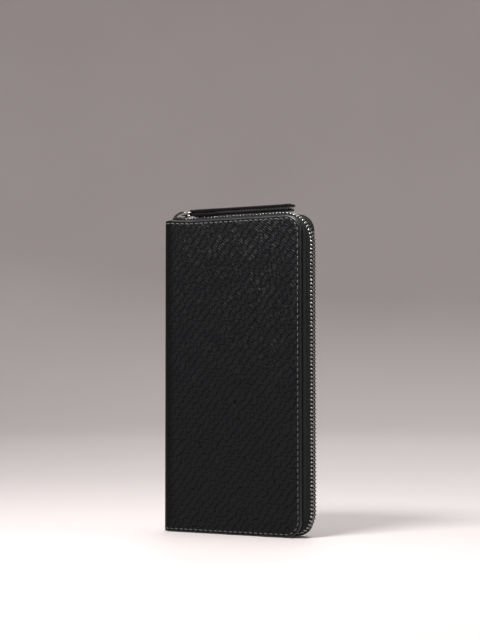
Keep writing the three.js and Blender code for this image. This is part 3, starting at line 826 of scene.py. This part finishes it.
def pull_strap():
    """One strip of leather folded back through the ring: two plies with painted edges."""
    low, high = span("pull_strap")
    pin = pin_of("strap_hinge")
    end, half_wide = high[0], high[1]
    under, over = low[2], high[2]
    ply, plump = 1.72, 0.5  # the leather's thickness, and how much more it has next to the fold
    fold, pared = 1.22, 1.3  # radius of the fold's middle, and the leather's thickness there
    upper = over - 0.1 - ply / 2
    lower = under - 0.15 + ply / 2
    knots = [(end - 0.3, upper - 0.02), (end - 14, upper - 0.16), (end - 40, upper - 0.1),
             (pin[0] + 17, upper - 0.1), (pin[0] + 10, upper - plump * 0.45),
             (pin[0] + 3.0, upper - plump * 0.4)]
    knots += [(pin[0] + fold * math.cos(math.radians(a)), pin[1] + fold * math.sin(math.radians(a)))
              for a in (75, 130, 180, 230, 280)]
    knots += [(pin[0] + 2.7, lower + plump * 0.25), (pin[0] + 10, lower + plump * 0.1),
              (pin[0] + 17, lower + 0.1), (end - 40, lower + 0.12), (end - 14, lower + 0.14),
              (end - 1.1, lower + 0.2)]
    path = smooth_path(knots, 420)
    s = distances(path)
    below = [(-1, -0.3), (-0.98, -0.75), (-0.91, -1), (-0.5, -1), (0, -1),
             (0.5, -1), (0.91, -1), (0.98, -0.75), (1, -0.3)]
    shape = below + [(-w, -v) for w, v in below]
    stations, uv = [], []
    for i, (at, n) in enumerate(zip(path, normals(path))):
        near = np.linalg.norm(at - pin)
        full = ply + plump * smoothstep(22, 8, near)
        thick = pared + (full - pared) * smoothstep(1.4, 3.0, near)
        tip = min(s[i], s[-1] - s[i])
        lower_ply = smoothstep(0.48, 0.54, s[i] / s[-1])
        wide = (half_wide - 0.35 + 0.3 * lower_ply) * (1 - 0.12 * (1 - min(tip / 0.9, 1)) ** 2)
        thick *= 1 - 0.35 * (1 - min(tip / 0.6, 1)) ** 2
        sewn = 0.14 * thick
        ring = []
        for w, v in shape:
            dip = sewn * math.exp(-(((abs(w) * wide - (wide - 1.3)) / 0.3) ** 2)) if abs(v) == 1 else 0
            h = (v - math.copysign(dip, v)) * thick / 2
            ring.append((at[0] + n[0] * h, w * wide, at[1] + n[1] * h))
            uv.append((s[i] / 10, w * half_wide / 10 + (0 if v < 0 else 3)))
        stations.append(ring)
    points, faces = loft(stations)
    m = len(shape)
    side_faces = {7, 8, 9, 16, 17, 0}
    painted = [int((i % m) in side_faces or i >= len(faces) - 2) for i in range(len(faces))]
    obj = make("strap", points, faces, [STRAP_LEATHER, STRAP_EDGE], uv, face_material=painted)
    stand_for(obj, "pull_strap")
    spots = []
    upper_ply = path[len(path) * 2 // 5::-1]
    for x in np.arange(end - 3, pin[0] + 7, -3.0):
        at = np.interp(x, upper_ply[:, 0], upper_ply[:, 1])
        for side in (-1, 1):
            top = at + (ply + plump * smoothstep(22, 8, x - pin[0])) / 2 - 0.16
            spots.append(((x, side * (half_wide - 1.3), top), (1, 0, 0), (0, 1, 0), (0, 0, 1)))
    points, faces, uv = scatter(stitch_mesh(2.2, 0.19, 0.2), spots)
    seam = make("strap_stitching", points, faces, THREAD, uv)
    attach(seam, "pull_strap")


# ---------- the inside ----------

def inner_sheet(node, material, radius=1.5, centre=False):
    """A thin sheet in its CAD node's place, with rounded edges and pressed crease lines."""
    low, high = span(node)
    thick = high[1] - low[1]
    side = 1 if low[1] + high[1] > 0 else -1
    half = ((high[0] - low[0]) / 2, (high[2] - low[2]) / 2)
    hub = ((low[0] + high[0]) / 2, (low[2] + high[2]) / 2)
    insets = [0, 0.05, 0.14, 0.3, 0.8, 1.1, 1.4, 1.8, 2.4, 4]
    cuts_v = [-0.9, -0.45, 0, 0.45, 0.9] if centre else []
    flat, faces, rim = flat_sheet(half, radius, insets, np.arange(-half[0] + 6, half[0] - 3, 6),
                                  [*cuts_v, *np.arange(-half[1] + 6, half[1] - 3, 6)], steps=4)
    depth = depth_inside(flat, half, radius)
    turned = np.sqrt(np.clip(1 - (1 - np.clip(depth / (thick * 0.6), 0, 1)) ** 2, 0, 1))
    dip = 0.09 * np.exp(-(((depth - 1.1) / 0.3) ** 2))
    if centre:
        dip += 0.1 * np.exp(-((flat[:, 1] / 0.4) ** 2))
    wave = 0.05 * bumpy(flat, 22, 7.0 + hub[0]) * smoothstep(1, 8, depth)
    y_mid = (low[1] + high[1]) / 2
    facing = -side if not node.startswith("coin") else side  # towards whoever opens the wallet

    def at(rise):
        return np.column_stack([flat[:, 0] + hub[0], y_mid + facing * rise, flat[:, 1] + hub[1]])

    outer, inner = at((thick / 2 - dip + wave) * turned), at(-thick / 2 * turned)
    points, all_faces, uv = two_sided(flat, faces, rim, outer, inner)
    obj = make(node.replace("row", "slot_row") + "_sheet", points, all_faces, material, uv)
    stand_for(obj, node)


def card_stitching(word, side):
    """Stitches that divide each half's card rows in two columns and close their two ends."""
    spots = []
    layers = [span(f"{word}_card_row_{i}") for i in (3, 2, 1)]
    left = layers[0][0][0] + 2
    for (low, high), from_x in zip(layers, (left, layers[0][1][0], layers[1][1][0])):
        face = low[1] if side > 0 else high[1]
        for z in (low[2] + 1.4, (low[2] + high[2]) / 2, high[2] - 1.4):
            for x in np.arange(from_x + 1.6, high[0] - 1.2, 2.9):
                spots.append(((x, face, z), (1, 0, 0), (0, 0, 1), (0, -side, 0)))
    points, faces, uv = scatter(stitch_mesh(2.2, 0.17, 0.25), spots)
    obj = make(f"card_stitching_{word}", points, faces, THREAD, uv)
    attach(obj, word)


def gusset(word, side, at_top):
    """A gusset as one thin sheet in a V, sewn to the card panel's side and to the coin pocket."""
    node = f"{word}_gusset_{'top' if at_top else 'bottom'}"
    low, high = span(node)
    outer, inner = (high[1], low[1]) if side > 0 else (low[1], high[1])
    mouth, fold = (high[2], low[2]) if at_top else (low[2], high[2])
    stations, uv = [], []
    for x in np.linspace(low[0], high[0], 24):
        ring = []
        for t in np.linspace(0, 1, 33):
            deep = 1 - abs(2 * t - 1)
            deep = deep - 0.06 * deep**6
            sag = 0.5 * noise.noise((x / 14, t * 3, side + 2.0 * at_top)) * deep
            ring.append((x, outer + (inner - outer) * t, mouth + (fold - mouth) * deep + sag))
            uv.append((x / 10, abs(fold - mouth) * 2 * t / 10))
        stations.append(ring)
    points, faces = loft(stations, ring=False)
    obj = make(node + "_fold", points, faces, INNER, uv)
    stand_for(obj, node, ride=False)
    if side > 0:
        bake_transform(obj)
    else:  # the front's gusset is baked in place just as the back's
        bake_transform(obj)


def coin_binding():
    """Leather piping round the coin pocket's ends and its spine side."""
    low, high = span("coin_binding")
    wall = span("coin_wall_back")[1][1]
    left, foot, head, turn = low[0] + 0.85, low[2] + 0.85, high[2] - 0.85, 1.6
    path = [(x, foot) for x in np.linspace(high[0], left + turn, 30)]
    path += [(left + turn - turn * math.sin(a), foot + turn - turn * math.cos(a))
             for a in np.radians(range(15, 90, 15))]
    path += [(left, z) for z in np.linspace(foot + turn, head - turn, 60)]
    path += [(x, foot + head - z) for x, z in path[34::-1]]
    path = np.array(path)
    stations, uv = [], []
    for i, (at, n) in enumerate(zip(path, normals(path))):
        ring = []
        for k in circle(12):
            across, up = 0.85 * math.cos(k), (wall + 0.12) * math.sin(k)
            ring.append((at[0] + n[0] * across, up, at[1] + n[1] * across))
            uv.append((i * 0.2, k * 0.15))
        stations.append(ring)
    stand_for(make("coin_pocket_piping", *loft(stations), INNER, uv), "coin_binding")


def coin_tape(word, side):
    """The coin zip's tape: out of the pocket, over like a roof, and in to the coil."""
    low, high = span(f"coin_tape_{word}")
    coil = span(f"coin_coil_{word}")
    x_coil = (coil[0][0] + coil[1][0]) / 2
    y_coil = max(abs(coil[0][1]), abs(coil[1][1])) - 0.25
    knots = [(low[0], 0.35), (low[0] + 5.6, 0.36), (low[0] + 7, 1.3), (x_coil - 2.1, 3.4),
             (x_coil - 0.9, 3.95), (x_coil - 0.12, 3.75), (x_coil, 3.2), (x_coil, y_coil)]
    path, thick = smooth_path(knots, 40), 0.3
    ways = list(zip(path, normals(path)))
    ring = [at + n * thick / 2 for at, n in ways] + [at - n * thick / 2 for at, n in reversed(ways)]
    heights = np.linspace(low[2], high[2], 40)
    stations = [[(x, side * y, z) for x, y in ring] for z in heights]
    across = np.concatenate([np.arange(40), np.arange(40)[::-1]]) * 0.03
    uv = [(z / 10, a) for z in heights for a in across]
    stand_for(make(f"coin_zip_tape_{word}", *loft(stations), TAPE, uv), f"coin_tape_{word}")


def coin_coil(word, side):
    """Half a nylon coil zip: a fine spring of flat loops, wound along the tape's edge."""
    low, high = span(f"coin_coil_{word}")
    x_mid, deep = (low[0] + high[0]) / 2, (high[0] - low[0]) / 2 - 0.12
    near, far = sorted((abs(low[1]), abs(high[1])))
    pitch, steps, wire = 1.5, 12, 0.2
    turns = (high[2] - low[2] - 0.6) / pitch
    phase = 0 if side > 0 else pitch / 2
    stations = []
    for i in range(int(turns * steps)):
        a = 2 * math.pi * i / steps
        y = (near + far) / 2 - ((far - near) / 2 - 0.02) * math.cos(a) - 0.12
        at = np.array([x_mid + deep * math.sin(a), side * y, high[2] - 0.3 - phase / 2 - pitch * i / steps])
        out = np.array([math.sin(a), -side * math.cos(a), 0])
        stations.append([at + wire * (math.cos(k) * out + math.sin(k) * np.array([0, 0, 1]))
                         for k in circle(6)])
    stand_for(make(f"coin_zip_coil_{word}", *loft(stations), NYLON), f"coin_coil_{word}")


def coin_slider():
    """The coin zip's small slider, with its wings, lips and loop."""
    low, high = span("coin_slider")
    coil = span("coin_coil_back")
    x_mid = (coil[0][0] + coil[1][0]) / 2
    w, z0, z1 = high[1], low[2], high[2]
    half = [(z1, -w * 0.5), (z1 - 0.8, -w * 0.9), (z1 - 2, -w), (z0 + 0.8, -w), (z0, -w * 0.8)]
    outline = half + [(z, -y) for z, y in reversed(half)]
    parts = []
    for sign in (-1, 1):
        near, far = sorted((x_mid + sign * 1.05, x_mid + sign * 1.65))
        parts.append(prism(outline, near, far, (2, 1, 0)))
        lip_near, lip_far = sorted((x_mid + sign * 0.5, x_mid + sign * 1.05))
        for s in (-1, 1):
            lip = [(z0 + 0.3, s * (w - 0.55)), (z1 - 0.9, s * (w - 0.55)),
                   (z1 - 0.9, s * w), (z0 + 0.3, s * w)]
            parts.append(prism(lip, lip_near, lip_far, (2, 1, 0)))
    obj = make("coin_slider_casting", *merged(parts), METAL)
    rounded_edges(obj, 0.18)
    stand_for(obj, "coin_slider")
    roof = x_mid + 1.65
    knots = [(roof - 0.2, z0 + 0.8), (roof + 1.2, z0 + 1.15), (roof + 1.8, z0 + 2.0),
             (roof + 1.8, z0 + 3.2), (roof + 1.0, z1 - 1.9), (roof - 0.2, z1 - 1.1)]
    loop = make("coin_slider_loop", *arch(smooth_path(knots, 24), 1.7, 0.7), METAL)
    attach(loop, "coin_slider")


def coin_pull():
    """The coin zip's flat teardrop puller, with its slot."""
    low, high = span("coin_pull")
    x0, x1, w = low[0], high[0], high[1]
    top, foot = high[2], low[2]
    pin = pin_of("coin_pull_hinge")[1]
    side = [(w * 0.72, top), (w * 0.9, top - 0.5), (w * 0.82, top - 4)]
    tip = [(w * math.cos(a), foot + w + w * math.sin(a)) for a in np.radians(np.linspace(20, -200, 23))]
    outer = side + tip + [(-y, z) for y, z in reversed(side)]
    slot = [(1.3, pin - 0.5), (1.3, pin - 3.0), (-1.3, pin - 3.0), (-1.3, pin - 0.5)]
    work = bmesh.new()
    loops = [[work.verts.new((x0, y, z)) for y, z in ring] for ring in (outer, slot)]
    edges = [work.edges.new(pair) for ring in loops for pair in zip(ring, ring[1:] + ring[:1])]
    bmesh.ops.triangle_fill(work, edges=edges, use_beauty=True)
    grown_faces = bmesh.ops.extrude_face_region(work, geom=work.faces[:])["geom"]
    moved = [g for g in grown_faces if isinstance(g, bmesh.types.BMVert)]
    bmesh.ops.translate(work, verts=moved, vec=(x1 - x0, 0, 0))
    work.verts.index_update()
    points = [tuple(v.co) for v in work.verts]
    faces = [[v.index for v in f.verts] for f in work.faces]
    faces = sorted(f[f.index(min(f)):] + f[:f.index(min(f))] for f in faces)  # the same on every run
    work.free()
    obj = make("coin_puller", points, faces, METAL)
    rounded_edges(obj, 0.16)
    stand_for(obj, "coin_pull")


# ---------- camera, light and floor ----------

def camera():
    """The photograph's view: turned 30 degrees, 0.95 m away, level with the wallet's middle."""
    turn, away, height, up = math.radians(30), 950.34, 93.35, math.radians(2.345)
    aim = turn - math.radians(0.046)
    data = bpy.data.cameras.new("camera")
    data.sensor_width, data.lens = 36, 86.05
    data.clip_start, data.clip_end = 0.05, 50
    obj = bpy.data.objects.new("camera", data)
    obj.location = Vector((away * math.sin(turn), -away * math.cos(turn), height)) * MM
    obj.rotation_euler = (math.pi / 2 + up, 0, aim)
    bpy.context.scene.collection.objects.link(obj)
    bpy.context.scene.camera = obj


def area_light(name, place, target, size, watts, colour):
    data = bpy.data.lights.new(name, "AREA")
    data.shape, data.size, data.size_y = "RECTANGLE", size[0], size[1]
    data.energy, data.color = watts, colour
    obj = bpy.data.objects.new(name, data)
    obj.location = place
    obj.rotation_euler = (Vector(target) - Vector(place)).to_track_quat("-Z", "Y").to_euler()
    bpy.context.scene.collection.objects.link(obj)


def studio():
    world = bpy.data.worlds.new("studio")
    world.use_nodes = True
    background = world.node_tree.nodes["Background"]
    background.inputs[0].default_value = (0.60, 0.57, 0.57, 1)
    background.inputs[1].default_value = 1.2
    bpy.context.scene.world = world
    middle = (0, 0, 0.1)
    area_light("key", (-0.05, -0.42, 0.62), (0, 0, 0.19), (0.24, 0.18), 8, (1, 0.99, 0.99))
    area_light("top", (0.0, 0.1, 1.9), middle, (1.6, 1.2), 14, (1, 0.99, 0.98))
    area_light("side", (2.0, 0.5, 0.9), middle, (1.2, 1.2), 12, (0.97, 0.98, 1))
    area_light("back", (-0.6, 2.0, 1.5), middle, (1.6, 1.2), 18, (1, 1, 1))
    view = bpy.context.scene.view_settings
    view.view_transform, view.look = "Standard", "None"


def floor():
    """A pale floor that sweeps up into a wall all round, so that no view has a horizon."""
    profile = [(0.001, 0), (300, 0), (700, 0), (1300, 0), (2000, 0)]
    profile += [(2000 + 1500 * math.sin(a), 1500 * (1 - math.cos(a))) for a in np.radians(range(6, 91, 6))]
    profile += [(3500, 3600)]
    stations = [[(r * math.cos(a), r * math.sin(a), z - 0.02) for r, z in profile]
                for a in np.linspace(0, 2 * math.pi, 64, endpoint=False)]
    s = Shader("pale_floor")
    cloud = s.noise(s.centimetres(False), 0.03, 2)
    material = s.finish(s.mix(cloud, rgb(0.47, 0.435, 0.43), rgb(0.52, 0.485, 0.48)), 0.65)
    make("floor", *loft(stations, loop=True, ring=False), material)


# ---------- put together ----------

camera()
studio()
floor()

bend_with_cover(cover())
bend_with_cover(cover_stitching())
for word, side in (("back", 1), ("front", -1)):
    zip_tape(word, side)
    zip_teeth(word, side)
    clamp(f"{word}_top_stop")
    inner_sheet(f"{word}_lining", LINING, radius=5)
    inner_sheet(f"{word}_card_panel", INNER)
    for row, behind in ((1, "panel"), (2, "slot_row_1"), (3, "slot_row_2")):
        inner_sheet(f"{word}_card_row_{row}", INNER, centre=True)
    card_stitching(word, side)
    gusset(word, side, True)
    gusset(word, side, False)
    inner_sheet(f"coin_wall_{word}", INNER)
    coin_tape(word, side)
    coin_coil(word, side)
clamp("bottom_stop")
zip_slider()
pull_ring()
pull_strap()
coin_binding()
coin_slider()
coin_pull()
